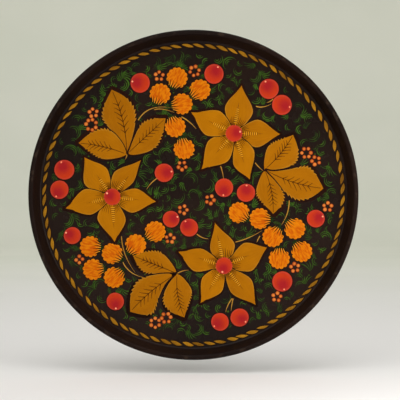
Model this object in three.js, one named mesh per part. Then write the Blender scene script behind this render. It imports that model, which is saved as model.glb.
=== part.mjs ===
// A round painted tray of pressed sheet steel, standing upright.
// Millimetres. +Z is up, +X is to the right, and the painted face looks towards -Y.
// The tray's axis is the Y axis, and the origin is the centre of the flat back face.

import * as THREE from 'three';

// Tray
const TRAY_DIAMETER = 300;
const TRAY_DEPTH = 16;
const SHEET = 0.8;
const WALL_SLOPE_DEG = 72; // from the floor, so the wall leans outwards by 18 degrees
const COVE_RADIUS = 3; // bend between floor and wall, at the middle of the sheet
const CENTRE_RADIUS = 30; // inner ring of the floor's facets

// Rolled rim, curled outwards round a stiffening wire
const RIM_WIRE_DIAMETER = 2.6;
const RIM_WIRE_GAP = 0.3;
const RIM_CURL_DEG = 280;

// Hanger on the back: a tin strap folded round a wire loop
const HANGER_HEIGHT = 105; // of the loop's axis above the tray's centre
const STRAP_SHEET = 0.6;
const STRAP_WIDTH = 10;
const STRAP_LEG = 8; // from the loop's axis down to the soldered end
const STRAP_CURL_DEG = 235;
const STRAP_PINCH_RADIUS = 1.2;
const STRAP_TAIL = 2.4;
const LOOP_WIRE_DIAMETER = 2;
const LOOP_WIRE_GAP = 0.3;
const LOOP_HALF_WIDTH = 9; // to the middle of the wire
const LOOP_LEG = 13; // from the axis down to the centre of the bow
const LOOP_CORNER = 2.5;
const LOOP_END_GAP = 0.3; // between the wire's two ends, inside the strap

// Facets
const TURN_STEPS = 72;
const COVE_STEPS = 4;
const CURL_STEPS = 12;
const PINCH_STEPS = 3;
const WIRE_SIDES = 8;
const LOOP_SIDES = 8;
const LOOP_STEPS = 56;

const RIM_CURL_RADIUS = RIM_WIRE_DIAMETER / 2 + RIM_WIRE_GAP + SHEET / 2;
const STRAP_CURL_RADIUS = LOOP_WIRE_DIAMETER / 2 + LOOP_WIRE_GAP + STRAP_SHEET / 2;
const WALL_SLOPE = THREE.MathUtils.degToRad(WALL_SLOPE_DEG);

// The middle of the rim wire's section: distance from the tray's axis, and place along Y.
const RIM_WIRE_CENTRE = new THREE.Vector2(
  TRAY_DIAMETER / 2 - RIM_CURL_RADIUS - SHEET / 2,
  -(TRAY_DEPTH - RIM_CURL_RADIUS - SHEET / 2),
);

const steel = (color, roughness) =>
  new THREE.MeshStandardMaterial({ color, roughness, metalness: 0.9 });
const lacquer = new THREE.MeshStandardMaterial({ color: 0x17161a, roughness: 0.3, metalness: 0 });
const wireSteel = steel(0x9a9a9c, 0.45);
const tinnedSteel = steel(0xb4b2ac, 0.4);
const brightSteel = steel(0xa8a6a2, 0.35);

// A bent sheet's section is drawn by a pen that moves along the middle of the sheet.
// The pen keeps a point and a heading, and both faces of the sheet are offsets from it.
function sheetPen(start, heading, thickness) {
  const leftFace = [];
  const rightFace = [];
  const at = start.clone();
  let angle = heading;

  const mark = () => {
    const left = new THREE.Vector2(-Math.sin(angle), Math.cos(angle)).multiplyScalar(thickness / 2);
    leftFace.push(at.clone().add(left));
    rightFace.push(at.clone().sub(left));
  };
  const forward = (length) => {
    at.add(new THREE.Vector2(Math.cos(angle), Math.sin(angle)).multiplyScalar(length));
    mark();
  };
  const bend = (turn, radius, steps) => {
    const step = turn / steps;
    const chord = 2 * radius * Math.sin(Math.abs(step) / 2);
    for (let i = 0; i < steps; i += 1) {
      angle += step / 2;
      at.add(new THREE.Vector2(Math.cos(angle), Math.sin(angle)).multiplyScalar(chord));
      angle += step / 2;
      mark();
    }
  };
  const outline = () => [...rightFace, ...leftFace.reverse()];

  mark();
  return { forward, bend, outline };
}

// Floor, cove, sloping wall and rolled rim in one sheet. In this section x is the distance
// from the tray's axis and y runs towards the back, so the wall rises towards -y.
function trayPan() {
  const coveTop = COVE_RADIUS * (1 - Math.cos(WALL_SLOPE)) + SHEET / 2;
  const wallTop = -RIM_WIRE_CENTRE.y + RIM_CURL_RADIUS * Math.cos(WALL_SLOPE);
  const wallLength = (wallTop - coveTop) / Math.sin(WALL_SLOPE);
  const floorRadius =
    RIM_WIRE_CENTRE.x -
    (RIM_CURL_RADIUS + COVE_RADIUS) * Math.sin(WALL_SLOPE) -
    wallLength * Math.cos(WALL_SLOPE);

  const pen = sheetPen(new THREE.Vector2(0, -SHEET / 2), 0, SHEET);
  pen.forward(CENTRE_RADIUS);
  pen.forward(floorRadius - CENTRE_RADIUS);
  pen.bend(-WALL_SLOPE, COVE_RADIUS, COVE_STEPS);
  pen.forward(wallLength);
  pen.bend(THREE.MathUtils.degToRad(RIM_CURL_DEG), RIM_CURL_RADIUS, CURL_STEPS);
  const mesh = new THREE.Mesh(new THREE.LatheGeometry(pen.outline(), TURN_STEPS), lacquer);
  mesh.name = 'tray_pan';
  return mesh;
}

// The wire that stiffens the rim, a plain ring inside the curl.
function rimWire() {
  const section = [];
  for (let i = 0; i <= WIRE_SIDES; i += 1) {
    const angle = (2 * Math.PI * (i % WIRE_SIDES)) / WIRE_SIDES;
    const spoke = new THREE.Vector2(Math.cos(angle), Math.sin(angle));
    section.push(spoke.multiplyScalar(RIM_WIRE_DIAMETER / 2).add(RIM_WIRE_CENTRE));
  }
  const mesh = new THREE.Mesh(new THREE.LatheGeometry(section, TURN_STEPS), wireSteel);
  mesh.name = 'rim_wire';
  return mesh;
}

// The strap: a strip soldered flat to the back, folded over the loop's wire and pinched
// back against itself. Its section is drawn with x away from the back and y upwards.
function hangerStrap() {
  const pinch = THREE.MathUtils.degToRad(STRAP_CURL_DEG - 180);
  const pen = sheetPen(new THREE.Vector2(STRAP_SHEET / 2, -STRAP_LEG), Math.PI / 2, STRAP_SHEET);
  pen.forward(STRAP_LEG);
  pen.bend(-Math.PI - pinch, STRAP_CURL_RADIUS, CURL_STEPS);
  pen.bend(pinch, STRAP_PINCH_RADIUS, PINCH_STEPS);
  pen.forward(STRAP_TAIL);
  const shape = new THREE.Shape(pen.outline());
  const geometry = new THREE.ExtrudeGeometry(shape, { depth: STRAP_WIDTH, bevelEnabled: false });
  geometry.translate(0, 0, -STRAP_WIDTH / 2);
  const mesh = new THREE.Mesh(geometry, tinnedSteel);
  mesh.name = 'hanger_strap';
  mesh.rotation.set(Math.PI / 2, Math.PI / 2, 0);
  return mesh;
}

// The loop's path, from one end of the wire round to the other, in the plane of the loop.
function loopPath() {
  const point = (x, z) => new THREE.Vector3(x, 0, z);
  const corner = (side) => [
    point(side * (LOOP_HALF_WIDTH - LOOP_CORNER), 0),
    point(side * LOOP_HALF_WIDTH, 0),
    point(side * LOOP_HALF_WIDTH, -LOOP_CORNER),
  ];
  const bow = new THREE.CatmullRomCurve3(
    Array.from({ length: 13 }, (_, i) => {
      const angle = (Math.PI * i) / 12;
      return point(LOOP_HALF_WIDTH * Math.cos(angle), -LOOP_LEG - LOOP_HALF_WIDTH * Math.sin(angle));
    }),
  );
  const right = corner(1);
  const left = corner(-1).reverse();
  const path = new THREE.CurvePath();
  path.add(new THREE.LineCurve3(point(LOOP_END_GAP / 2, 0), right[0]));
  path.add(new THREE.QuadraticBezierCurve3(...right));
  path.add(new THREE.LineCurve3(right[2], point(LOOP_HALF_WIDTH, -LOOP_LEG)));
  path.add(bow);
  path.add(new THREE.LineCurve3(point(-LOOP_HALF_WIDTH, -LOOP_LEG), left[0]));
  path.add(new THREE.QuadraticBezierCurve3(...left));
  path.add(new THREE.LineCurve3(left[2], point(-LOOP_END_GAP / 2, 0)));
  return path;
}

function hangerLoop() {
  const section = new THREE.Shape();
  section.absarc(0, 0, LOOP_WIRE_DIAMETER / 2, 0, 2 * Math.PI);
  const geometry = new THREE.ExtrudeGeometry(section, {
    extrudePath: loopPath(),
    steps: LOOP_STEPS,
    curveSegments: LOOP_SIDES / 2, // a full circle takes twice this many points
  });
  const mesh = new THREE.Mesh(geometry, brightSteel);
  mesh.name = 'hanger_loop';
  mesh.position.y = STRAP_SHEET / 2 + STRAP_CURL_RADIUS;
  return mesh;
}

// The hanger's own group has its origin on the back face, at the height of the loop's axis.
function hanger() {
  const group = new THREE.Group();
  group.position.z = HANGER_HEIGHT;
  group.add(hangerStrap(), hangerLoop());
  return group;
}

const tray = new THREE.Group();
tray.add(trayPan(), rimWire(), hanger());

export default tray;
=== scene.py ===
import math
import random

import bmesh
import bpy
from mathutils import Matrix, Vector


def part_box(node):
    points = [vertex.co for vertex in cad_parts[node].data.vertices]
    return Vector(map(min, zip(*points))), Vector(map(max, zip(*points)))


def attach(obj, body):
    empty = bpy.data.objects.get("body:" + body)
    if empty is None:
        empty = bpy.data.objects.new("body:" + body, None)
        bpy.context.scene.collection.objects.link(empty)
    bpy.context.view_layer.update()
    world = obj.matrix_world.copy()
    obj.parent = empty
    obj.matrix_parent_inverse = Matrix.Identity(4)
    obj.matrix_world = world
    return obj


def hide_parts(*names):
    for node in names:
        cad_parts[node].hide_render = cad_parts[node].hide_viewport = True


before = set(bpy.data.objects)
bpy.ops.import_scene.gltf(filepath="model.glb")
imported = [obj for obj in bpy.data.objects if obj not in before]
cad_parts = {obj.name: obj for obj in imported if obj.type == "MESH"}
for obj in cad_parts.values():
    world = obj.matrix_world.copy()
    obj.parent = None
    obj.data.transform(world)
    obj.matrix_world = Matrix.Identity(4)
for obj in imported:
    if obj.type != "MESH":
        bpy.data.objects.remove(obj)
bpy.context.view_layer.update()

MM = 0.001

# The sheet, in millimetres, bent as the CAD pan and strap are
SHEET = 0.8
WALL_SLOPE = math.radians(72)
COVE_RADIUS = 3
RIM_WIRE_DIAMETER = 2.6
WIRE_GAP = 0.3
RIM_CURL = math.radians(280)
STRAP_SHEET = 0.6
STRAP_LEG = 8
STRAP_CURL = math.radians(235)
STRAP_PINCH_RADIUS = 1.2
STRAP_TAIL = 2.4
LOOP_WIRE_DIAMETER = 2
LOOP_CORNER = 2.5
LOOP_END_GAP = 0.3  # between the wire's two ends, inside the strap
PAN_TURNS = 288  # facets round the pan

# Places and sizes that the frame gives, in millimetres
PAN_LOW, PAN_HIGH = (Vector(corner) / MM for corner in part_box("tray_pan"))
STRAP_LOW, STRAP_HIGH = (Vector(corner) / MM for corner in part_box("hanger_strap"))
LOOP_LOW, LOOP_HIGH = (Vector(corner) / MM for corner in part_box("hanger_loop"))
TRAY_RADIUS = PAN_HIGH.z
FACE_Y = PAN_HIGH.y - SHEET
RIM_CURL_RADIUS = RIM_WIRE_DIAMETER / 2 + WIRE_GAP + SHEET / 2
RIM_WIRE_AT = (TRAY_RADIUS - RIM_CURL_RADIUS - SHEET / 2, PAN_LOW.y + RIM_CURL_RADIUS + SHEET / 2)

# Painting: every place below is (x, z) in millimetres from the tray's centre
SUNK = 0.03  # how far a painted shape's hidden underside lies below the surface
BEVEL = 0.28
LIFT_GREEN = 0.04
LIFT_HALO = 0.06
LIFT_LEAF = 0.12
LAYER = 0.03  # each petal or leaflet lies over the one before it, its dark outline between the two
LIFT_LINE = 0.29
LIFT_BERRY = 0.31
LIFT_GLINT = 0.38

ROPE_STROKES = 84
ROPE_RADIUS = 136.7
ROPE_SLANT = 1.35
ROPE_OUTER = 1.9  # how far a stroke reaches from its middle line to the rim, and to the centre
ROPE_INNER = 1.5

# A flower: the heart's place and its petals. A petal: angle, length, then how far its left and right
# sides reach from its middle line, each with how far along the petal that is, and the line's bow.
FLOWERS = (
    ((37.1, 56.4), (
        (81, 44.2, 12.0, 0.50, 14.3, 0.48, 0), (-1, 42.2, 13.1, 0.50, 12.6, 0.49, 0),
        (-71, 44.8, 12.4, 0.46, 10.0, 0.60, 0), (-132, 44.6, 13.0, 0.48, 13.0, 0.45, 0),
        (154, 44.0, 12.9, 0.50, 12.8, 0.46, 0),
    )),
    ((-74.4, -1.8), (
        (125, 44.2, 14.2, 0.52, 11.0, 0.53, 0), (52, 42.8, 12.6, 0.43, 7.0, 0.50, 0),
        (-6, 40.5, 10.1, 0.50, 12.7, 0.46, 0), (-87, 41.6, 11.4, 0.50, 14.8, 0.44, 0),
        (-166, 44.4, 11.2, 0.50, 13.1, 0.50, 0),
    )),
    ((28.0, -64.9), (
        (102, 40.2, 9.3, 0.42, 13.8, 0.42, 0), (23, 42.8, 12.2, 0.57, 14.3, 0.49, 0),
        (-51, 46.4, 11.7, 0.53, 10.6, 0.50, 0), (-122, 40.6, 10.9, 0.50, 11.2, 0.47, 0),
        (163, 44.2, 12.9, 0.54, 9.2, 0.52, 0),
    )),
)
HEART_RADIUS = 7.9
HEART_TURNS = (15, 145, -105)
PETAL_HALO = 1.1  # how far the dark outline shows round a petal, and below round a leaflet and the rest
LEAF_HALO = 1.6
FRUIT_HALO = 0.7
ROPE_HALO = 0.6
PETAL_PROFILE = ((0, 0.3), (0.15, 0.42), (0.3, 0.75), (0.5, 1), (0.65, 0.83), (0.85, 0.34), (1, 0.01))

# A spray: where its leaflets meet, and the leaflets, given as petals are.
SPRAYS = (
    ((-61.0, 37.2), (
        (103.2, 60.7, 17.6, 0.62, 13.3, 0.60, -3.4), (167, 45.3, 11.2, 0.45, 16.8, 0.50, -1.9),
        (43, 48.6, 11.3, 0.60, 13.4, 0.47, 0),
    )),
    ((65.2, 23.3), (
        (50.6, 40.9, 13.1, 0.45, 16.1, 0.55, -2), (-17.8, 56.5, 17.6, 0.65, 14.6, 0.62, -3.1),
        (-79.1, 41.5, 11.0, 0.63, 14.2, 0.47, 2.4),
    )),
    ((-14.9, -72.0), (
        (158.1, 43.6, 10.2, 0.62, 12.6, 0.50, 0), (-140.7, 55.5, 16.0, 0.74, 15.3, 0.56, -2.4),
        (-80.5, 40.8, 13.5, 0.42, 14.3, 0.55, -2.8),
    )),
)
LEAF_PROFILE = ((0, 0.02), (0.1, 0.34), (0.2, 0.58), (0.35, 0.86), (0.5, 1), (0.62, 0.93), (0.76, 0.69),
                (0.88, 0.38), (1, 0.02))
LEAF_TEETH = 6
TOOTH_DEPTH = 1.9
TOOTH_GAP = 0.0012  # how steeply one tooth ends and the next begins, as a share of the leaflet
TEETH_LEFT = (0.5, 0.86)
TEETH_RIGHT = (0.44, 0.8)
HATCH_LINES = 11
TIP_LINE = 4.5  # the line that ends a petal's ladder of ticks
VEIN_PAIRS = 6

# A berry: place, radius, and the side that its glint is on.
BERRIES = (
    ((-48.8, 102.6), 9.0, 170), ((18.8, 110.8), 9.0, 60), ((69.1, 97.1), 9.2, 115),
    ((81, 82.5), 9.2, -15), ((-118.3, 23.1), 9.2, 112), ((-122.8, 4.8), 8.5, -116),
    ((-26.9, 20.3), 8.6, 10), ((28, 6.6), 8.5, -95), ((48.1, 2), 8.4, 85),
    ((-111, -37.3), 7.9, 155), ((-20.5, -22.2), 7.7, 20), ((-4, -29.9), 8.3, 120),
    ((-71.7, -97.6), 8.1, -85), ((112.1, -21.7), 8.2, 17), ((81.4, -79.3), 9.3, -77),
    ((24.3, -116.4), 8.2, -143), ((42.3, -112.4), 8.4, -35),
)

BERRY_WOBBLE = 0.012  # how far from round a berry is, as a share of its radius

# A raspberry: place, and the side that its green cap is on.
RASPBERRIES = (
    ((-15, 107.2), -117), ((-30.5, 92.5), -112), ((-10.4, 83.4), -169), ((6, 96.2), -138),
    ((-16.8, 62.4), 113), ((-8.6, 42.3), 103), ((-94.5, -47.3), -5), ((-74.4, -53.7), -32),
    ((-91.8, -68.3), 8), ((-72.6, -75.6), 42), ((-52.9, -45.5), -130), ((-35.1, -33.6), -140),
    ((41.7, -16.2), -40), ((60.9, -21.7), -5), ((72.8, -38.2), 55), ((92.9, -30.9), 135),
    ((99.3, -51.9), 128), ((78.7, -58.3), 90),
)
RASPBERRY_RADIUS = 9.9
RASPBERRY_LOBES = 13
NOTCH_DEPTH = 0.16
CAP_SPIKES = 6

# A rosette: place, and how many dots are in its ring.
ROSETTES = (
    ((-31.4, 109), 5), ((1, 113.5), 6), ((-91.8, 75.2), 5), ((-93.6, 64.2), 7), ((-10.4, 26.7), 5),
    ((103.4, 38.6), 6), ((112.1, 31.3), 5), ((15.2, -4.4), 5), ((-9.5, -13.5), 5), ((-21.4, -40), 5),
    ((-104.6, -59.2), 4), ((-35.1, -117.3), 6), ((-25, -112.7), 6), ((123, -10.8), 5),
    ((92.9, -66.5), 5), ((76.4, -93.5), 5),
)
DOT_RADIUS = 1.85

# A gold stem: its start, a point it passes through, and its end.
STEMS = (
    ((-50.6, 68.5), (-38.5, 79), (-20, 79.6)), ((-36, 78), (-28, 78.5), (-17.5, 75.5)),
    ((-11, 71.5), (-4, 67), (2.5, 60.5)), ((57.2, 81.3), (63.6, 80.6), (71.5, 83.4)),
    ((73, 88), (70, 85.6), (67, 84.6)), ((56.5, 29.5), (60, 25.5), (64, 22)),
    ((24.8, 26.5), (26.6, 20.5), (27.6, 14)), ((-64.8, -61.5), (-57.6, -70.5), (-46, -75.6)),
    ((-66, -38), (-62.5, -55), (-53.5, -71)), ((38.5, -43.2), (51, -39), (63, -32.5)),
    ((87.8, -5), (85.1, -19.3), (77.8, -30.5)), ((35.6, -94.8), (31.6, -101), (29.6, -107.5)),
    ((36.4, -95), (35.2, -100.6), (34.4, -106.5)), ((0.5, 36.8), (-2.6, 40.1), (-5.4, 45)),
    ((-14.5, -71.8), (-9.5, -69.6), (-4.5, -69)), ((3, -35.8), (8, -39), (13.5, -40.2)),
    ((-33, 15.5), (-38.5, 11), (-43, 5)), ((61, -37.5), (59, -41), (58, -43.5)),
    ((-61, 37), (-61.4, 35), (-62.4, 32.5)),
)

# Brush strokes: width, the share of it at the start and at the end, and where it is fullest
HATCH = (0.8, 0.9, 0.35, 0.2)
YELLOW_TICK = (0.95, 0.7, 0.6, 0.5)
DARK_TICK = (0.5, 0.7, 0.6, 0.5)
TIP = (0.5, 0.8, 0.1, 0.2)
MIDRIB = (0.8, 0.8, 0.7, 0.5)
VEIN = (0.8, 1.0, 0.55, 0.3)
SPIKE = (1.4, 1.0, 0.25, 0.2)
HAIR = (0.6, 1.0, 0.25, 0.2)
SEPAL = (1.5, 0.6, 0.1, 0.3)
STEM = (1.0, 0.9, 0.25, 0.3)
SPRIG_RIB = (0.35, 0.6, 0.2, 0.3)
SPRIG_BARB = (0.6, 0.4, 0.1, 0.5)

# Green filling: how many random spots are tried for each kind of shape, and the shapes' sizes
FAN_TRIES = 5000
FAN_ROOM = 2.2
CURL_TRIES = 5000
CURL_RADII = (3.4, 7.5)
CURL_PITCH = 1.95  # between the nested arcs of one curl
SPRIG_TRIES = 500
SPRIG_LENGTH = 8.5
SPECK_TRIES = 300
ROSETTE_ROOM = 5.0
FILLING_RADIUS = 129  # of the circle that curls and fans are centred in
FILLING_EDGE = 132


# ---------- small helpers

def polar(centre, radius, degrees):
    angle = math.radians(degrees)
    return (centre[0] + radius * math.cos(angle), centre[1] + radius * math.sin(angle))


def srgb(red, green, blue):
    """A colour given as it looks on a screen, from 0 to 255, as linear values for a shader."""
    def linear(value):
        share = value / 255
        return share / 12.92 if share <= 0.04045 else ((share + 0.055) / 1.055) ** 2.4
    return (linear(red), linear(green), linear(blue), 1)


def profile(points):
    """A smooth curve through (place, value) points, as a function of the place."""
    places, values = zip(*points)
    last = len(points) - 1

    def slope(i):
        low, high = max(i - 1, 0), min(i + 1, last)
        return (values[high] - values[low]) / (places[high] - places[low])

    def value_at(u):
        u = min(max(u, places[0]), places[-1])
        i = next((k for k in range(last) if u <= places[k + 1]), last - 1)
        span = places[i + 1] - places[i]
        t = (u - places[i]) / span
        return (
            values[i] * (2 * t**3 - 3 * t**2 + 1)
            + span * slope(i) * (t**3 - 2 * t**2 + t)
            + values[i + 1] * (3 * t**2 - 2 * t**3)
            + span * slope(i + 1) * (t**3 - t**2)
        )

    return value_at


def swept(start, degrees, length, sweep):
    """A path straight from start to its tip, bowed sideways by sweep at its middle."""
    forward = polar((0, 0), 1, degrees)
    side = (-forward[1], forward[0])

    def at(u):
        bow = 4 * u * (1 - u) * sweep
        return tuple(start[i] + forward[i] * length * u + side[i] * bow for i in range(2))

    return at


def through(start, middle, end):
    """A path that bends from start to end through a middle point."""
    pull = tuple(2 * middle[i] - (start[i] + end[i]) / 2 for i in range(2))

    def at(u):
        return tuple(
            start[i] * (1 - u) ** 2 + pull[i] * 2 * u * (1 - u) + end[i] * u**2 for i in range(2)
        )

    return at


def side_of(path, u):
    """The direction to the left of a path, as a unit vector."""
    ahead, behind = path(u + 0.002), path(u - 0.002)
    across = (behind[1] - ahead[1], ahead[0] - behind[0])
    size = math.hypot(*across) or 1
    return (across[0] / size, across[1] / size)


def beside(path, u, offset):
    """The point that lies offset millimetres to the left of a path."""
    point, side = path(u), side_of(path, u)
    return (point[0] + side[0] * offset, point[1] + side[1] * offset)


def heading_of(start, end):
    """The direction from one point to another, in degrees."""
    return math.degrees(math.atan2(end[1] - start[1], end[0] - start[0]))


def ring_faces(first, rings, sides):
    """The faces between rings of points that follow one another, each ring closed on itself."""
    faces = []
    for ring in range(rings - 1):
        for i in range(sides):
            a = first + ring * sides + i
            b = first + ring * sides + (i + 1) % sides
            faces.append((a, b, b + sides, a + sides))
    return faces


def new_mesh(name, points, faces):
    mesh = bpy.data.meshes.new(name)
    mesh.from_pydata(points, [], faces)
    return mesh


def new_object(name, data):
    thing = bpy.data.objects.new(name, data)
    bpy.context.scene.collection.objects.link(thing)
    return thing


# ---------- paint shapes

def stroke_section(left, right):
    """Points across a stroke with these half-widths: each one's share of the half-width on its side,
    and of the stroke's lift, where 0 is the sunk edge."""
    if min(left, right) > 2 * BEVEL:
        return ((-1, 0), (BEVEL / right - 1, 0.9), (-0.45, 1), (0, 1), (0.45, 1),
                (1 - BEVEL / left, 0.9), (1, 0))
    return ((-1, 0), (-0.55, 0.9), (0.55, 0.9), (1, 0))


class Paint:
    """Closed, slightly raised shapes of paint that become one piece with one material.

    Each point also keeps three numbers for the material: along and across, its place within its own
    shape, and tone, which differs from shape to shape."""

    def __init__(self, name):
        self.name = name
        self.points = []
        self.faces = []
        self.marks = {"along": [], "across": [], "tone": []}

    def point(self, place, lift, along, across, tone):
        self.points.append((place[0] * MM, (FACE_Y - lift) * MM, place[1] * MM))
        for values, value in zip(self.marks.values(), (along, across, tone)):
            values.append(value)

    def stroke(self, path, left, right, lift, tone, stops):
        """A shape along a path. left and right give the half-width on each side of a place on it, and
        stops are those places, or their number."""
        if isinstance(stops, int):
            stops = [i / stops for i in range(stops + 1)]
        rows = []
        for u in stops:
            halves = (left(u), right(u))
            rows.append([])
            for share, level in stroke_section(*halves):
                half = halves[1] if share < 0 else halves[0]
                height = lift * level if level else -SUNK
                rows[-1].append(len(self.points))
                self.point(beside(path, u, share * half), height, u, share, tone)
        for row, after in zip(rows, rows[1:]):
            self.bridge(row, after)
            self.faces.append((row[0], after[0], after[-1], row[-1]))
        self.faces += [tuple(rows[0]), tuple(reversed(rows[-1]))]

    def bridge(self, row, after):
        """The top faces between two rows of a stroke, of 7 points or of 4."""
        if len(row) == len(after):
            for i in range(len(row) - 1):
                self.faces.append((row[i], row[i + 1], after[i + 1], after[i]))
            return
        wide, thin = (row, after) if len(row) > len(after) else (after, row)
        for low, high, k in ((0, 1, 0), (1, 5, 1), (5, 6, 2)):
            self.faces.append((*wide[low:high + 1], thin[k + 1], thin[k]))

    def brush(self, path, shape, lift, tone, stops):
        """A brush stroke. shape is its width, the share of that at its start and at its end, and the
        place along it where it is fullest."""
        width, start, end, peak = shape
        curve = profile(((0, start), (peak, 1), (1, end)))

        def half(u):
            return width / 2 * max(curve(u), 0.04)

        self.stroke(path, half, half, lift, tone, stops)

    def blob(self, centre, radius, lift, tone, turn=0, sides=40, lobed=None):
        """A round shape. lobed gives its radius, as a share, at an angle in degrees."""
        shoulder = 1 - min(BEVEL / radius, 0.3)
        rings = ((1, -SUNK), (shoulder, lift * 0.8), (0.66, lift * 0.97), (0.33, lift))
        first = len(self.points)
        for share, height in rings:
            for i in range(sides):
                angle = 360 * i / sides
                reach = share * (lobed(angle) if lobed else 1)
                spot = polar((0, 0), reach, angle)
                place = polar(centre, radius * reach, angle + turn)
                self.point(place, height, spot[0], spot[1], tone)
        self.point(centre, lift, 0, 0, tone)
        self.faces += ring_faces(first, len(rings), sides)
        inner = first + (len(rings) - 1) * sides
        for i in range(sides):
            self.faces.append((inner + i, inner + (i + 1) % sides, inner + sides))
        self.faces.append(tuple(first + i for i in reversed(range(sides))))

    def make(self, material, slot):
        mesh = new_mesh(self.name, self.points, self.faces)
        for key, values in self.marks.items():
            mesh.attributes.new(key, "FLOAT", "POINT").data.foreach_set("value", values)
        return add_piece(self.name, mesh, material)


def add_piece(name, mesh, material, body="tray", sharp=35):
    """An object of a mesh, with its faces turned outwards, smoothed, and riding on a body."""
    shell = bmesh.new()
    shell.from_mesh(mesh)
    bmesh.ops.recalc_face_normals(shell, faces=shell.faces)
    shell.to_mesh(mesh)
    shell.free()
    mesh.shade_smooth()
    mesh.set_sharp_from_angle(angle=math.radians(sharp))
    mesh.materials.append(material)
    piece = new_object(name, mesh)
    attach(piece, body)
    return piece


# ---------- materials

PAINT_MIRROR = 0.05


class Nodes:
    """A material's node tree, with short calls for the few kinds of node used here."""

    def __init__(self, name, mirror=0.5):
        """mirror is how strongly the surface mirrors, where 0.5 is Blender's own level."""
        self.material = bpy.data.materials.new(name)
        self.material.use_nodes = True
        self.tree = self.material.node_tree
        self.shader = self.tree.nodes["Principled BSDF"]
        self.put(self.shader, {"Specular IOR Level": mirror})

    def add(self, kind, inputs, **settings):
        node = self.tree.nodes.new(kind)
        for key, value in settings.items():
            setattr(node, key, value)
        self.put(node, inputs)
        return node

    def put(self, node, inputs):
        """Gives a node's inputs their values, each a plain value or another node's output."""
        for key, value in inputs.items():
            if isinstance(value, bpy.types.NodeSocket):
                self.tree.links.new(value, node.inputs[key])
            else:
                node.inputs[key].default_value = value

    def marks(self):
        """What Paint keeps at each point: along, across and tone."""
        kind, names = "ShaderNodeAttribute", ("along", "across", "tone")
        return [self.add(kind, {}, attribute_name=name).outputs["Fac"] for name in names]

    def place(self):
        return self.add("ShaderNodeTexCoord", {}).outputs["Object"]

    def vector(self, x, y, z):
        return self.add("ShaderNodeCombineXYZ", {0: x, 1: y, 2: z}).outputs[0]

    def parts(self, vector):
        return self.add("ShaderNodeSeparateXYZ", {0: vector}).outputs

    def noise(self, vector, scale, detail=3, roughness=0.5):
        inputs = {"Vector": vector, "Scale": scale, "Detail": detail, "Roughness": roughness}
        return self.add("ShaderNodeTexNoise", inputs).outputs["Fac"]

    def math(self, operation, first, second=0.0, clamp=False):
        inputs = {0: first, 1: second}
        return self.add("ShaderNodeMath", inputs, operation=operation, use_clamp=clamp).outputs[0]

    def times(self, first, second):
        return self.math("MULTIPLY", first, second)

    def reach(self, vector):
        return self.add("ShaderNodeVectorMath", {0: vector}, operation="LENGTH").outputs["Value"]

    def fade(self, value, low, high, out_low=0.0, out_high=1.0):
        """A smooth step: from out_low where the value is low to out_high where it is high."""
        inputs = {"Value": value, "From Min": low, "From Max": high}
        inputs.update({"To Min": out_low, "To Max": out_high})
        return self.add("ShaderNodeMapRange", inputs, interpolation_type="SMOOTHSTEP").outputs["Result"]

    def mix(self, share, first, second):
        """A mix of two colours, each a node's output or red, green and blue as seen on a screen."""
        node = self.add("ShaderNodeMix", {}, data_type="RGBA")
        values = (share, *(srgb(*c) if isinstance(c, tuple) else c for c in (first, second)))
        used = [i for i, socket in enumerate(node.inputs) if socket.enabled]
        self.put(node, dict(zip(used, values)))
        return next(socket for socket in node.outputs if socket.enabled)

    def finish(self, colour, roughness, bump=None, distance=0.0001, strength=0.3):
        self.put(self.shader, {"Base Color": colour, "Roughness": roughness})
        if bump is not None:
            inputs = {"Strength": strength, "Distance": distance, "Height": bump}
            self.put(self.shader, {"Normal": self.add("ShaderNodeBump", inputs).outputs["Normal"]})
        return self.material


def black_lacquer():
    """The brown-black ground: rubbed on the rim's crest, and duller up the wall than on the floor."""
    nodes = Nodes("black_lacquer")
    place = nodes.place()
    broad = nodes.fade(nodes.noise(place, 9, 2), 0.35, 0.7)
    colour = nodes.mix(broad, (24, 15, 12), (34, 21, 16))
    depth = nodes.parts(place)[1]
    crest = nodes.fade(depth, (PAN_LOW.y + 0.8) * MM, (PAN_LOW.y + 0.1) * MM)
    rubbed = nodes.times(crest, nodes.fade(nodes.noise(place, 160, 4), 0.55, 0.7))
    colour = nodes.mix(nodes.times(rubbed, 0.25), colour, (84, 66, 52))
    fine = nodes.noise(place, 420)
    sheen = nodes.fade(nodes.noise(place, 38, 4), 0.3, 0.75, 0.2, 0.3)
    dulled = nodes.fade(depth, (FACE_Y - 0.4) * MM, (FACE_Y - 3) * MM, 0.0, 0.22)
    roughness = nodes.math("ADD", sheen, dulled)
    level = nodes.fade(depth, (FACE_Y - 0.1) * MM, (FACE_Y - 1.2) * MM, 0.1, 0.06)
    nodes.put(nodes.shader, {"Specular IOR Level": level})
    return nodes.finish(colour, roughness, fine, 0.00006, 0.2)


def leaf_gold(name, dark, light, rim):
    """Ochre gold for petals, leaflets and rope: streaked along the stroke, with a painted highlight
    that makes it paler at its edges.
    """
    nodes = Nodes(name, PAINT_MIRROR)
    along, across, tone = nodes.marks()
    grain = nodes.vector(nodes.times(along, 3), nodes.times(across, 12), nodes.times(tone, 40))
    streak = nodes.fade(nodes.noise(grain, 1.0, 4, 0.6), 0.3, 0.72)
    blotch = nodes.fade(nodes.noise(nodes.place(), 70), 0.3, 0.75)
    share = nodes.math("ADD", nodes.times(streak, 0.3), nodes.times(blotch, 0.3))
    share = nodes.math("ADD", share, nodes.times(tone, 0.4), True)
    colour = nodes.mix(share, dark, light)
    # painted highlight: the rim colour is mixed in as a paler band along both edges of every stroke
    edge = nodes.fade(nodes.math("ABSOLUTE", across), 0.86, 1.0)
    colour = nodes.mix(nodes.times(edge, 0.6), colour, rim)
    roughness = nodes.fade(streak, 0, 1, 0.36, 0.5)
    return nodes.finish(colour, roughness, streak, 0.00006, 0.35)


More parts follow.
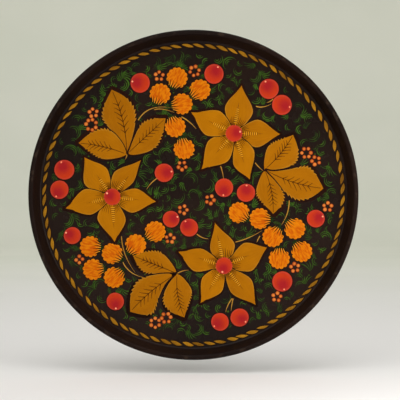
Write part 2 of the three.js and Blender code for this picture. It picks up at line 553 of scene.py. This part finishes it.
def berry_red():
    """Crimson on the glint's side, orange red on the other, with a paler line near the edge."""
    nodes = Nodes("berry_red", PAINT_MIRROR)
    along, across, tone = nodes.marks()
    reach = nodes.reach(nodes.vector(along, across, 0.0))
    from_glint = nodes.reach(nodes.vector(nodes.math("SUBTRACT", along, 0.35), across, 0.0))
    wash = nodes.noise(nodes.vector(along, across, nodes.times(tone, 30)), 2.2, 3)
    shade = nodes.math("ADD", nodes.fade(from_glint, 0.1, 1.05), nodes.times(wash, 0.5))
    colour = nodes.mix(nodes.math("SUBTRACT", shade, 0.3, True), (156, 28, 32), (186, 52, 20))
    rim = nodes.times(nodes.fade(reach, 0.8, 0.9), nodes.fade(reach, 1.0, 0.93))
    colour = nodes.mix(nodes.times(rim, 0.5), colour, (184, 66, 54))
    roughness = nodes.fade(wash, 0.3, 0.7, 0.34, 0.46)
    return nodes.finish(colour, roughness, wash)


def raspberry_orange():
    """Two oranges in short streaks that run out from the cap, yellower towards the edge."""
    nodes = Nodes("raspberry_orange", PAINT_MIRROR)
    along, across, tone = nodes.marks()
    reach = nodes.reach(nodes.vector(along, across, 0.0))
    depth = nodes.times(tone, 50)
    grain = nodes.vector(nodes.times(along, 2.2), nodes.times(across, 7), depth)
    dabs = nodes.noise(grain, 1)
    streak = nodes.fade(dabs, 0.38, 0.62)
    colour = nodes.mix(streak, (188, 82, 1), (208, 116, 3))
    rim = nodes.fade(reach, 0.66, 0.95)
    colour = nodes.mix(nodes.times(rim, 0.55), colour, (214, 124, 12))
    return nodes.finish(colour, nodes.fade(dabs, 0.3, 0.7, 0.36, 0.5), streak, 0.00008, 0.4)


def toned(name, dark, light, roughness=0.42):
    """Thin strokes: one of a range of tones per stroke, with a little unevenness in the paint."""
    nodes = Nodes(name, PAINT_MIRROR)
    uneven = nodes.noise(nodes.place(), 260)
    share = nodes.math("ADD", nodes.marks()[2], nodes.fade(uneven, 0.3, 0.7, -0.18, 0.18), True)
    sheen = nodes.fade(uneven, 0.3, 0.7, roughness - 0.05, roughness + 0.06)
    return nodes.finish(nodes.mix(share, dark, light), sheen)


def dot_peach():
    """Peach in the middle of a dot and brick red at its edge."""
    nodes = Nodes("dot_peach", PAINT_MIRROR)
    along, across, tone = nodes.marks()
    reach = nodes.reach(nodes.vector(along, across, 0.0))
    shift = nodes.fade(tone, 0, 1, -0.25, 0.25)
    spread = nodes.math("ADD", nodes.fade(reach, 0.2, 1.0), shift, True)
    roughness = nodes.fade(nodes.noise(nodes.place(), 300, 2), 0.3, 0.7, 0.36, 0.48)
    return nodes.finish(nodes.mix(spread, (212, 122, 52), (160, 62, 14)), roughness)


def metal(name, dark, light, roughness, stretch=(1, 1, 1)):
    """Bare metal with fine drawing or rolling marks and a few darker patches."""
    nodes = Nodes(name)
    place = nodes.place()
    drawn = nodes.vector(*(nodes.times(axis, s) for axis, s in zip(nodes.parts(place), stretch)))
    marks = nodes.noise(drawn, 900)
    patch = nodes.fade(nodes.noise(place, 130), 0.4, 0.7)
    nodes.put(nodes.shader, {"Metallic": 1.0})
    fine = nodes.fade(marks, 0.3, 0.7, roughness - 0.08, roughness + 0.08)
    level = nodes.math("ADD", fine, nodes.times(patch, 0.12))
    return nodes.finish(nodes.mix(patch, light, dark), level, marks, 0.00004, 0.25)


def studio_paper():
    """Paper painted whiter near the tray as a painted pool of light, and greenish further away, as the
    photo's background is.
    """
    nodes = Nodes("studio_paper", 0.1)
    place = nodes.place()
    soft = nodes.fade(nodes.noise(place, 3, 2), 0.3, 0.7)
    distant = nodes.mix(soft, (228, 229, 217), (232, 232, 221))
    # painted pool of light: the paper is painted whiter round the tray, turning to a darker greenish
    # tone further away
    colour = nodes.mix(nodes.fade(nodes.reach(place), 0.3, 2.6), (244, 241, 240), distant)
    return nodes.finish(colour, 0.9)


# ---------- the tray

def sheet_outline(start, heading, thickness, moves):
    """Both faces of a bent sheet. A move is ("forward", length) or ("bend", turn, radius, steps)."""
    x, y = start
    left, right = [], []

    def mark():
        dx, dy = -math.sin(heading) * thickness / 2, math.cos(heading) * thickness / 2
        left.append((x + dx, y + dy))
        right.append((x - dx, y - dy))

    mark()
    for kind, *rest in moves:
        if kind == "forward":
            x, y = x + rest[0] * math.cos(heading), y + rest[0] * math.sin(heading)
            mark()
            continue
        turn, radius, steps = rest
        chord = 2 * radius * math.sin(abs(turn) / steps / 2)
        for _ in range(steps):
            heading += turn / steps / 2
            x, y = x + chord * math.cos(heading), y + chord * math.sin(heading)
            heading += turn / steps / 2
            mark()
    return right + left[::-1]


def revolve(outline, turns):
    """A closed solid turned round the Y axis from an outline that starts and ends on the axis."""
    points, faces, rings = [], [], []
    for radius, y in outline:
        if radius < 1e-6:
            rings.append([len(points)])
            points.append((0, y * MM, 0))
            continue
        rings.append(list(range(len(points), len(points) + turns)))
        for i in range(turns):
            angle = 2 * math.pi * i / turns
            points.append((radius * math.cos(angle) * MM, y * MM, radius * math.sin(angle) * MM))
    for ring, after in zip(rings, rings[1:]):
        for i in range(turns):
            j = (i + 1) % turns
            corners = [ring[i % len(ring)], ring[j % len(ring)]]
            corners += [after[j % len(after)], after[i % len(after)]]
            faces.append(tuple(dict.fromkeys(corners)))
    return points, [f for f in faces if len(f) > 2]


def tray_pan(material):
    wire_r, wire_y = RIM_WIRE_AT
    cove_top = COVE_RADIUS * (1 - math.cos(WALL_SLOPE)) + SHEET / 2
    wall_top = -wire_y + RIM_CURL_RADIUS * math.cos(WALL_SLOPE)
    wall = (wall_top - cove_top) / math.sin(WALL_SLOPE)
    bends = (RIM_CURL_RADIUS + COVE_RADIUS) * math.sin(WALL_SLOPE)
    floor = wire_r - bends - wall * math.cos(WALL_SLOPE)
    moves = [("forward", floor / 8)] * 8
    moves += [("bend", -WALL_SLOPE, COVE_RADIUS, 14)]
    moves += [("forward", wall / 4)] * 4
    moves += [("bend", RIM_CURL, RIM_CURL_RADIUS, 40)]
    outline = sheet_outline((0, -SHEET / 2), 0, SHEET, moves)
    mesh = new_mesh("pan", *revolve(outline, PAN_TURNS))
    piece = add_piece("painted_pan", mesh, material, sharp=50)
    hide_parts("tray_pan")


def strap(material):
    pinch = STRAP_CURL - math.pi
    curl_radius = LOOP_WIRE_DIAMETER / 2 + WIRE_GAP + STRAP_SHEET / 2
    axis_z = STRAP_LOW.z + STRAP_LEG
    moves = [("forward", STRAP_LEG / 2)] * 2
    moves += [("bend", -STRAP_CURL, curl_radius, 32)]
    moves += [("bend", pinch, STRAP_PINCH_RADIUS, 10), ("forward", STRAP_TAIL)]
    outline = sheet_outline((STRAP_SHEET / 2, -STRAP_LEG), math.pi / 2, STRAP_SHEET, moves)
    count = len(outline)
    sides = (STRAP_LOW.x, STRAP_HIGH.x)
    points = [(x * MM, y * MM, (axis_z + z) * MM) for x in sides for y, z in outline]
    faces = ring_faces(0, 2, count) + [tuple(range(count)), tuple(range(count, 2 * count))]
    piece = add_piece("folded_strap", new_mesh("strap", points, faces), material)
    soften = piece.modifiers.new("edges", "BEVEL")
    soften.width = 0.12 * MM
    soften.segments = 2
    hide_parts("hanger_strap")


def tube(route, sides, corner):
    """A closed tube along a route of (x, z) points. corner gives, for a point's number and a side's,
    how far beside the route that corner lies, and its y."""
    points = []
    for i, (x, z) in enumerate(route):
        before, after = route[max(i - 1, 0)], route[min(i + 1, len(route) - 1)]
        along = Vector((after[0] - before[0], after[1] - before[1])).normalized()
        for k in range(sides):
            out, y = corner(i, k)
            points.append(((x + along.y * out) * MM, y * MM, (z - along.x * out) * MM))
    ends = [tuple(range(sides)), tuple(range(len(points) - sides, len(points)))]
    return points, ring_faces(0, len(route), sides) + ends


def solder_bead(material):
    """A low, slightly uneven bead of solder along the strap's lower end and its two sides."""
    rng = random.Random(5)
    left, right, low = STRAP_LOW.x, STRAP_HIGH.x, STRAP_LOW.z
    corners = [(left, low + STRAP_LEG - 1), (left, low), (right, low), (right, low + STRAP_LEG - 1)]
    route = []
    for a, b in zip(corners, corners[1:]):
        route += [(a[0] + (b[0] - a[0]) * i / 10, a[1] + (b[1] - a[1]) * i / 10) for i in range(10)]
    route.append(corners[-1])
    sides, sizes = 10, []
    for i in range(len(route)):
        from_end = min(i, len(route) - 1 - i)
        sizes.append((0.75 + 0.2 * rng.random()) * min(1, 0.35 + from_end * 0.35))

    def corner(i, k):
        angle = math.pi * k / (sides - 1)
        return math.cos(angle) * sizes[i], PAN_HIGH.y - 0.02 + math.sin(angle) * sizes[i] * 0.6

    mesh = new_mesh("solder", *tube(route, sides, corner))
    add_piece("solder_bead", mesh, material, sharp=60)


def wire_loop(material):
    """The loop's wire as a fine tube: a straight bar in the strap and a bow that hangs from it."""
    radius = LOOP_WIRE_DIAMETER / 2
    half = (LOOP_HIGH.x - LOOP_LOW.x) / 2 - radius
    axis_z = LOOP_HIGH.z - radius
    axis_y = (LOOP_LOW.y + LOOP_HIGH.y) / 2
    leg = axis_z - (LOOP_LOW.z + radius) - half
    cut = LOOP_CORNER / 4
    bend = through((half - LOOP_CORNER, 0), (half - cut, -cut), (half, -LOOP_CORNER))
    side = [(LOOP_END_GAP / 2, 0)] + [bend(i / 10) for i in range(11)] + [(half, -leg / 2)]
    bow = [polar((0, -leg), half, -180 * i / 40) for i in range(41)]
    path = side + bow + [(-x, z) for x, z in reversed(side)]
    sides = 20

    def corner(_, k):
        angle = 2 * math.pi * k / sides
        return radius * math.cos(angle), axis_y + radius * math.sin(angle)

    mesh = new_mesh("loop", *tube([(x, axis_z + z) for x, z in path], sides, corner))
    piece = add_piece("wire_loop", mesh, material, "loop", 60)
    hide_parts("hanger_loop")


# ---------- the painting

# Each function here adds shapes to the Paint pieces it is given, and draws from the stream rng

def motif_shape(root, motif, outline, grow=0.0):
    """A petal's or leaflet's middle line and the half-widths on its two sides. Each side follows the
    outline, whose middle is its fullest, moved so that the side is fullest where the motif says."""
    degrees, length, left, left_full, right, right_full, bow = motif
    curve = profile(outline)

    def half(reach, fullest):
        bend = math.log(0.5) / math.log(fullest)
        return lambda u: reach * max(curve(u**bend), 0.01) + grow

    path = swept(root, degrees, length + 2 * grow, bow)
    return path, half(left, left_full), half(right, right_full)


def toothed(half, first, last):
    """The same half-widths with saw teeth, pointing to the tip, between two places on the edge."""
    def with_teeth(u):
        if not first < u < last:
            return half(u)
        step = (u - first) / (last - first) * LEAF_TEETH
        return half(u) + TOOTH_DEPTH * (step - math.floor(step) - 0.5)
    return with_teeth


def leaf_stops():
    """Places along a leaflet, close together where its teeth begin and end."""
    stops = [i / 36 for i in range(37)]
    for first, last in (TEETH_LEFT, TEETH_RIGHT):
        for i in range(LEAF_TEETH + 1):
            tooth = first + (last - first) * i / LEAF_TEETH
            stops += [tooth - TOOTH_GAP, tooth + TOOTH_GAP]
    return sorted({round(stop, 5) for stop in stops})


def paint_petals(gold, halo, lines, ticks, rng):
    stops = [i / 30 for i in range(31)]
    for heart, petals in FLOWERS:
        for layer, petal in enumerate(petals):
            path, left, right = motif_shape(heart, petal, PETAL_PROFILE)
            lift = LIFT_LEAF + LAYER * layer
            gold.stroke(path, left, right, lift, rng.random(), stops)
            rim = motif_shape(heart, petal, PETAL_PROFILE, PETAL_HALO)
            halo.stroke(*rim, lift - LAYER / 2, rng.random(), stops)
            petal_hatching(petal, path, left, right, lines, rng)
            petal_ticks(petal, path, ticks, lines, rng)


def petal_hatching(petal, path, left, right, lines, rng):
    """Dark lines that fan out from the heart into the petal, longer near its middle."""
    length = petal[1]
    for i in range(HATCH_LINES):
        share = (i + 0.5) / HATCH_LINES * 2 - 1
        if abs(share) < 0.14:
            continue
        start = (HEART_RADIUS - 0.8) / length
        end = start + (3.4 + 5.6 * (1 - abs(share)) + 1.8 * rng.random()) / length
        half = left if share > 0 else right

        def line(u, share=share, half=half, start=start, end=end):
            place = start + (end - start) * u
            return beside(path, place, share * 0.88 * half(place))

        lines.brush(line, HATCH, LIFT_LINE, 0.35 * rng.random(), 5)


def petal_ticks(petal, path, ticks, lines, rng):
    """A ladder of short dashes, yellow and dark by turns, up the middle of the petal."""
    length = petal[1]
    count = rng.choice((6, 7, 8))
    for i in range(2 * count):
        place = (HEART_RADIUS + 1.8 + 0.9 * i) / length
        half = 1.9 - 0.8 * i / (2 * count)
        start, end = beside(path, place, half), beside(path, place, -half)
        paint, shape = (lines, DARK_TICK) if i % 2 else (ticks, YELLOW_TICK)
        dash = swept(start, heading_of(start, end), 2 * half, 0.2)
        paint.brush(dash, shape, LIFT_LINE + 0.02, rng.random() * 0.7, 4)
    far = (HEART_RADIUS + 1.8 + 1.8 * count) / length
    lines.brush(lambda u: path(far + TIP_LINE / length * u), TIP, LIFT_LINE, 0.6, 5)


def paint_hearts(red, glints, rng):
    for (heart, _), turn in zip(FLOWERS, HEART_TURNS):
        red.blob(heart, HEART_RADIUS, LIFT_BERRY, rng.random(), turn, 48)
        glints.blob(polar(heart, HEART_RADIUS * 0.74, turn), 1.2, LIFT_GLINT, rng.random(), sides=16)


def paint_leaves(gold, halo, lines, rng):
    for joint, leaflets in SPRAYS:
        for layer, leaflet in enumerate(leaflets):
            path, left, right = motif_shape(joint, leaflet, LEAF_PROFILE)
            lift = LIFT_LEAF + LAYER * layer
            toothed_sides = toothed(left, *TEETH_LEFT), toothed(right, *TEETH_RIGHT)
            gold.stroke(path, *toothed_sides, lift, rng.random(), leaf_stops())
            rim = motif_shape(joint, leaflet, LEAF_PROFILE, LEAF_HALO)
            halo.stroke(*rim, lift - LAYER / 2, rng.random(), 40)
            leaf_veins(leaflet, path, lines, rng)


def leaf_veins(leaflet, path, lines, rng):
    """The midrib, and pairs of side veins in the middle of the leaflet that point to its tip."""
    lines.brush(lambda u: path(0.06 + 0.9 * u), MIDRIB, LIFT_LINE, 0.15, 14)
    width = leaflet[2] + leaflet[4]
    for i in range(VEIN_PAIRS):
        place = 0.32 + 0.42 * i / (VEIN_PAIRS - 1)
        reach = width * (0.15 + 0.1 * math.sin(math.pi * (i + 0.6) / VEIN_PAIRS))
        heading = heading_of(path(place - 0.01), path(place + 0.01))
        for side in (-1, 1):
            vein = swept(path(place), heading + side * (42 + 6 * rng.random()),
                         reach * (0.9 + 0.25 * rng.random()), -side * 0.35)
            lines.brush(vein, VEIN, LIFT_LINE, 0.1 + 0.4 * rng.random(), 5)


def paint_berries(red, halo, glints, rng):
    for centre, radius, turn in BERRIES:
        wobble = rng.uniform(0, 360)

        def lobed(angle, wobble=wobble):
            return 1 + BERRY_WOBBLE * math.sin(math.radians(2 * angle + wobble))

        red.blob(centre, radius, LIFT_BERRY, rng.random(), turn, 48, lobed)
        halo.blob(centre, radius + FRUIT_HALO, LIFT_HALO, rng.random())
        glints.blob(polar(centre, radius * 0.8, turn), 1.1, LIFT_GLINT, rng.random(), sides=16)


def scalloped(degrees):
    """The radius of a raspberry at an angle: a ring of round lobes with notches between them."""
    wave = abs(math.cos(math.radians(degrees * RASPBERRY_LOBES / 2)))
    return 1 - NOTCH_DEPTH + NOTCH_DEPTH * wave**0.55


def paint_raspberries(orange, halo, caps, hairs, rng):
    for centre, turn in RASPBERRIES:
        orange.blob(centre, RASPBERRY_RADIUS, LIFT_LEAF + 0.09, rng.random(), turn, 120, scalloped)
        halo.blob(centre, RASPBERRY_RADIUS + FRUIT_HALO, LIFT_HALO, rng.random(), turn, 120, scalloped)
        raspberry_cap(centre, turn, caps, hairs, rng)


def raspberry_cap(centre, turn, caps, hairs, rng):
    """Dark spikes that fan into the berry from its cap, yellow hairs between them, sepals outside."""
    for i in range(2 * CAP_SPIKES - 1):
        place = i / (CAP_SPIKES - 1) - 1
        dark = i % 2 == 0
        start = polar(centre, RASPBERRY_RADIUS, turn + 27 * place)
        reach = (0.68 - 0.2 * abs(place) + 0.1 * rng.random()) * (1 if dark else 0.75)
        spike = swept(start, turn + 180 - 34 * place, RASPBERRY_RADIUS * reach, 0.3 * place)
        paint, shape = (caps, SPIKE) if dark else (hairs, HAIR)
        paint.brush(spike, shape, LIFT_LINE + 0.02, rng.random() * (0.15 if dark else 1), 6)
    cap = polar(centre, RASPBERRY_RADIUS * 0.98, turn)
    for i in range(5):
        heading = turn + (i - 2) * 40 + rng.uniform(-8, 8)
        sepal = swept(cap, heading, rng.uniform(3.0, 4.6), rng.uniform(-0.6, 0.6))
        caps.brush(sepal, SEPAL, LIFT_LINE - 0.03, 0.5 + 0.5 * rng.random(), 6)


def paint_rosettes(dots, rng):
    for centre, count in ROSETTES:
        ring = DOT_RADIUS * 1.12 / math.sin(math.pi / count)
        turn = rng.uniform(0, 360)
        for i in range(count):
            place = polar(centre, ring, turn + 360 * i / count + rng.uniform(-5, 5))
            dots.blob(place, DOT_RADIUS * rng.uniform(0.88, 1.05), LIFT_BERRY, rng.random(), sides=20)


def paint_stems(gold, rng):
    for start, middle, end in STEMS:
        gold.brush(through(start, middle, end), STEM, LIFT_LEAF + 0.08, rng.random(), 14)


def paint_rope(gold, halo, rng):
    """The border: a ring of slanted crescents, each running from the outer to the inner side."""
    outer = profile(((0, 0.06), (0.14, 0.6), (0.45, 1), (0.82, 0.6), (1, 0.06)))
    inner = profile(((0, 0.06), (0.18, 0.6), (0.55, 1), (0.86, 0.6), (1, 0.06)))
    pitch = 360 / ROPE_STROKES
    for i in range(ROPE_STROKES):
        start = 90 - pitch * i + rng.uniform(-0.25, 0.25)
        span = pitch * rng.uniform(0.98, 1.1)
        size = rng.uniform(0.85, 1.08)

        def path(u, start=start, span=span):
            return polar((0, 0), ROPE_RADIUS + ROPE_SLANT * (1 - 2 * u), start - span * u)

        def halves(grow, size=size):
            return (lambda u: ROPE_OUTER * size * outer(u) + grow,
                    lambda u: ROPE_INNER * size * inner(u) + grow)

        gold.stroke(path, *halves(0), LIFT_LEAF, rng.random(), 12)
        halo.stroke(path, *halves(ROPE_HALO), LIFT_HALO, rng.random(), 12)


def painted_areas():
    """Circles that cover the main motifs, so that the green filling keeps between them."""
    areas = []
    shapes = [(heart, petal, PETAL_PROFILE) for heart, petals in FLOWERS for petal in petals]
    shapes += [(joint, leaflet, LEAF_PROFILE) for joint, leaflets in SPRAYS for leaflet in leaflets]
    for shape in shapes:
        path, left, right = motif_shape(*shape)
        for i in range(1, 10):
            u = i / 10
            middle = (left(u) - right(u)) / 2
            areas.append((beside(path, u, middle), (left(u) + right(u)) / 2))
    areas += [(centre, radius) for centre, radius, _ in BERRIES]
    areas += [(centre, RASPBERRY_RADIUS) for centre, _ in RASPBERRIES]
    areas += [(centre, ROSETTE_ROOM) for centre, _ in ROSETTES]
    for stem in STEMS:
        path = through(*stem)
        areas += [(path(i / 4), 1.0) for i in range(5)]
    return areas


def free_spots(rng, tries, limit, areas, needed):
    """Random spots within limit millimetres of the centre that have the needed room, each with its
    room: how far it is from the nearest area and from the filling's edge."""
    for _ in range(tries):
        spot = polar((0, 0), limit * math.sqrt(rng.random()), rng.uniform(0, 360))
        room = min(math.hypot(spot[0] - c[0], spot[1] - c[1]) - r for c, r in areas)
        room = min(room, FILLING_EDGE - math.hypot(*spot))
        if room >= needed:
            yield spot, room


def paint_curls(green, areas, rng):
    """Nested arcs that curl into the gaps, larger where there is more room."""
    for spot, room in free_spots(rng, CURL_TRIES, FILLING_RADIUS, areas, needed=0):
        size = min(room * 1.1, CURL_RADII[1])
        if size < CURL_RADII[0]:
            continue
        areas.append((spot, size * 0.8))
        start, way = rng.uniform(0, 360), rng.choice((-1, 1))
        tone = rng.random() * 0.6
        for ring in range(3 if size > 5 else 2):
            radius = size - CURL_PITCH * ring
            span = way * rng.uniform(120, 200)
            turn = start + way * 22 * ring

            def path(u, spot=spot, radius=radius, span=span, turn=turn):
                return polar(spot, radius * (1 - 0.2 * u), turn + span * u)

            shape = (rng.uniform(0.8, 1.2), 0.15, 0.1, rng.uniform(0.35, 0.65))
            green.brush(path, shape, LIFT_GREEN, tone + 0.4 * rng.random(), 14)


def paint_fans(green, areas, rng):
    """Grass-like fans: four to six thin commas that spring from one point and bend the same way."""
    for spot, room in free_spots(rng, FAN_TRIES, FILLING_RADIUS, areas, needed=FAN_ROOM):
        size = min(room * 1.4, 5.2)
        areas.append((spot, size * 0.6))
        heading, way = rng.uniform(0, 360), rng.choice((-1, 1))
        root = polar(spot, -size * 0.9, heading)
        tone = rng.random() * 0.6
        for i in range(rng.choice((4, 5, 6))):
            turn = heading + way * (i * 24 - 48)
            length = size * (2.1 - 0.2 * i)
            shape = (rng.uniform(0.75, 1.1), 0.12, 0.1, 0.6)
            blade = swept(root, turn, length, way * size * 0.28)
            green.brush(blade, shape, LIFT_GREEN + 0.004 * i, tone + 0.4 * rng.random(), 10)


def paint_sprigs(green, areas, rng):
    """Small fern sprigs: a thin rib with pairs of strokes that shorten to its tip."""
    for spot, _ in free_spots(rng, SPRIG_TRIES, 126, areas, needed=1.6):
        areas.append((spot, 3.0))
        heading = heading_of((0, 0), spot) + rng.uniform(-70, 70)
        foot = polar(spot, -SPRIG_LENGTH / 2, heading)
        rib = swept(foot, heading, SPRIG_LENGTH, rng.uniform(-0.8, 0.8))
        tone = rng.random() * 0.8
        green.brush(rib, SPRIG_RIB, LIFT_GREEN, tone, 6)
        for i in range(5):
            for side in (-1, 1):
                barb = swept(rib(0.12 + 0.17 * i), heading + side * 42, 3.1 - 0.42 * i, -side * 0.2)
                green.brush(barb, SPRIG_BARB, LIFT_GREEN + 0.005, tone, 4)


def paint_specks(green, areas, rng):
    for spot, _ in free_spots(rng, SPECK_TRIES, 130, areas, needed=0.9):
        areas.append((spot, 1.4))
        green.blob(spot, rng.uniform(0.5, 1.1), LIFT_GREEN + 0.01, 0.4 + 0.6 * rng.random(), sides=12)


def painting():
    """Every painted piece. One stream of random draws runs through them all, in this order."""
    rng = random.Random(11)
    petals, leaves, rope, stems = map(Paint, ("petals", "leaflets", "rope_border", "stems"))
    halo, lines, ticks = map(Paint, ("dark_outlines", "petal_and_leaf_lines", "petal_ticks"))
    hearts, berries, glints = map(Paint, ("flower_hearts", "berries", "glints"))
    raspberries, caps, hairs = map(Paint, ("raspberries", "raspberry_caps", "raspberry_hairs"))
    dots, curls = map(Paint, ("rosette_dots", "green_curls"))
    sprigs, specks = map(Paint, ("green_sprigs", "green_specks"))

    paint_petals(petals, halo, lines, ticks, rng)
    paint_hearts(hearts, glints, rng)
    paint_leaves(leaves, halo, lines, rng)
    paint_berries(berries, halo, glints, rng)
    paint_raspberries(raspberries, halo, caps, hairs, rng)
    paint_rosettes(dots, rng)
    paint_stems(stems, rng)
    paint_rope(rope, halo, rng)
    areas = painted_areas()
    paint_curls(curls, areas, rng)
    paint_fans(curls, areas, rng)
    paint_sprigs(sprigs, areas, rng)
    paint_specks(specks, areas, rng)

    petals.make(leaf_gold("petal_gold", (152, 90, 1), (176, 109, 1), (186, 134, 40)), "gold_paint")
    leaves.make(leaf_gold("leaflet_gold", (148, 87, 1), (172, 106, 2), (182, 130, 40)), "gold_paint")
    rope.make(leaf_gold("rope_gold", (104, 66, 12), (190, 132, 28), (150, 106, 36)), "gold_paint")
    stems.make(leaf_gold("stem_gold", (150, 100, 30), (200, 150, 60), (190, 140, 60)), "gold_paint")
    halo.make(toned("outline_brown", (22, 8, 4), (36, 12, 5)), "brown_paint")
    lines.make(toned("line_brown", (44, 12, 2), (96, 40, 3)), "brown_paint")
    ticks.make(toned("tick_yellow", (206, 138, 22), (228, 168, 50)), "gold_paint")
    red = berry_red()
    hearts.make(red, "red_paint")
    berries.make(red, "red_paint")
    glints.make(toned("glint_peach", (238, 120, 84), (246, 160, 124), 0.35), "orange_paint")
    raspberries.make(raspberry_orange(), "orange_paint")
    caps.make(toned("cap_green", (14, 16, 6), (26, 48, 16)), "green_paint")
    hairs.make(toned("hair_yellow", (206, 130, 30), (224, 160, 50)), "gold_paint")
    dots.make(dot_peach(), "orange_paint")
    curls.make(toned("curl_green", (24, 34, 14), (62, 100, 24), 0.4), "green_paint")
    sprigs.make(toned("sprig_green", (24, 40, 10), (54, 82, 20), 0.4), "green_paint")
    specks.make(toned("speck_green", (30, 46, 12), (60, 82, 20), 0.4), "green_paint")


# ---------- the studio

CAMERA_DISTANCE = 1.5
CAMERA_ELEVATION = 0.5
FRAME_WIDTH = 0.3628
FRAME_CENTRE = (0.006, -0.0045)
SENSOR = 36
FLOOR_DROP = 0.012
FLOOR_RADIUS = 3.0
SWEEP_RADIUS = 1.5
STUDIO_HEIGHT = 3.2
STUDIO_SIDES = 96
SWEEP_STEPS = 24


def studio_floor():
    """One sheet of paper: a round floor that bends up into a wall on every side."""
    floor_z = PAN_LOW.z * MM - FLOOR_DROP
    rings = [(FLOOR_RADIUS * share, floor_z) for share in (0.05, 0.5, 0.97, 1)]
    for i in range(1, SWEEP_STEPS + 1):
        angle = math.pi / 2 * i / SWEEP_STEPS
        out, up = SWEEP_RADIUS * math.sin(angle), SWEEP_RADIUS * (1 - math.cos(angle))
        rings.append((FLOOR_RADIUS + out, floor_z + up))
    rings.append((FLOOR_RADIUS + SWEEP_RADIUS, STUDIO_HEIGHT))
    turns = [360 * i / STUDIO_SIDES for i in range(STUDIO_SIDES)]
    points = [(*polar((0, 0), radius, turn), z) for radius, z in rings for turn in turns]
    faces = [tuple(range(STUDIO_SIDES))]
    faces += [face[::-1] for face in ring_faces(0, len(rings), STUDIO_SIDES)]
    mesh = new_mesh("studio", points, faces)
    mesh.shade_smooth()
    mesh.materials.append(studio_paper())
    new_object("studio_floor", mesh)


def area_light(name, place, target, size, power):
    light = bpy.data.lights.new(name, "AREA")
    light.size = size
    light.energy = power
    lamp = new_object(name, light)
    lamp.location = place
    lamp.rotation_euler = (Vector(target) - Vector(place)).to_track_quat("-Z", "Y").to_euler()
    lamp.visible_camera = False
    return lamp


def lights():
    area_light("overhead", (0, -0.9, 2.5), (0, -0.4, 0), 2.6, 36)
    area_light("key", (-0.9, -1.6, 0.9), (0, 0, -0.06), 1.6, 9)
    area_light("side", (1.3, -1.4, 0.2), (0, 0, -0.07), 1.2, 9)
    area_light("backdrop", (0, 2.2, 2.4), (0, 4.0, 0.3), 1.8, 20)
    near = area_light("near", (0.34, -0.42, 0.0), (0.06, 0, -0.1), 0.25, 0.9)
    near.visible_glossy = False
    world = bpy.data.worlds.new("studio_air")
    world.use_nodes = True
    air = world.node_tree.nodes["Background"].inputs
    air["Color"].default_value = (0.86, 0.87, 0.84, 1)
    air["Strength"].default_value = 0.4
    bpy.context.scene.world = world


def camera():
    lens = bpy.data.cameras.new("camera")
    lens.sensor_width = SENSOR
    lens.lens = SENSOR * CAMERA_DISTANCE / FRAME_WIDTH
    lens.clip_end = 20
    view = new_object("camera", lens)
    target = Vector((FRAME_CENTRE[0], PAN_LOW.y * MM, FRAME_CENTRE[1]))
    tilt = math.radians(CAMERA_ELEVATION)
    view.location = target + CAMERA_DISTANCE * Vector((0, -math.cos(tilt), math.sin(tilt)))
    view.rotation_euler = (math.pi / 2 - tilt, 0, 0)
    bpy.context.scene.camera = view


# ---------- everything together

bpy.context.scene.view_settings.view_transform = "Standard"
camera()
lights()
studio_floor()

bright_steel = metal("loop_steel", (120, 116, 110), (190, 188, 184), 0.3, (1, 1, 0.2))
tinned = metal("tinned_sheet", (120, 118, 110), (186, 184, 176), 0.38, (0.15, 1, 1))
tray_pan(black_lacquer())
strap(tinned)
solder_bead(metal("solder", (140, 140, 138), (196, 196, 194), 0.3))
wire_loop(bright_steel)
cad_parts["rim_wire"].data.materials.clear()
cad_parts["rim_wire"].data.materials.append(bright_steel)
painting()
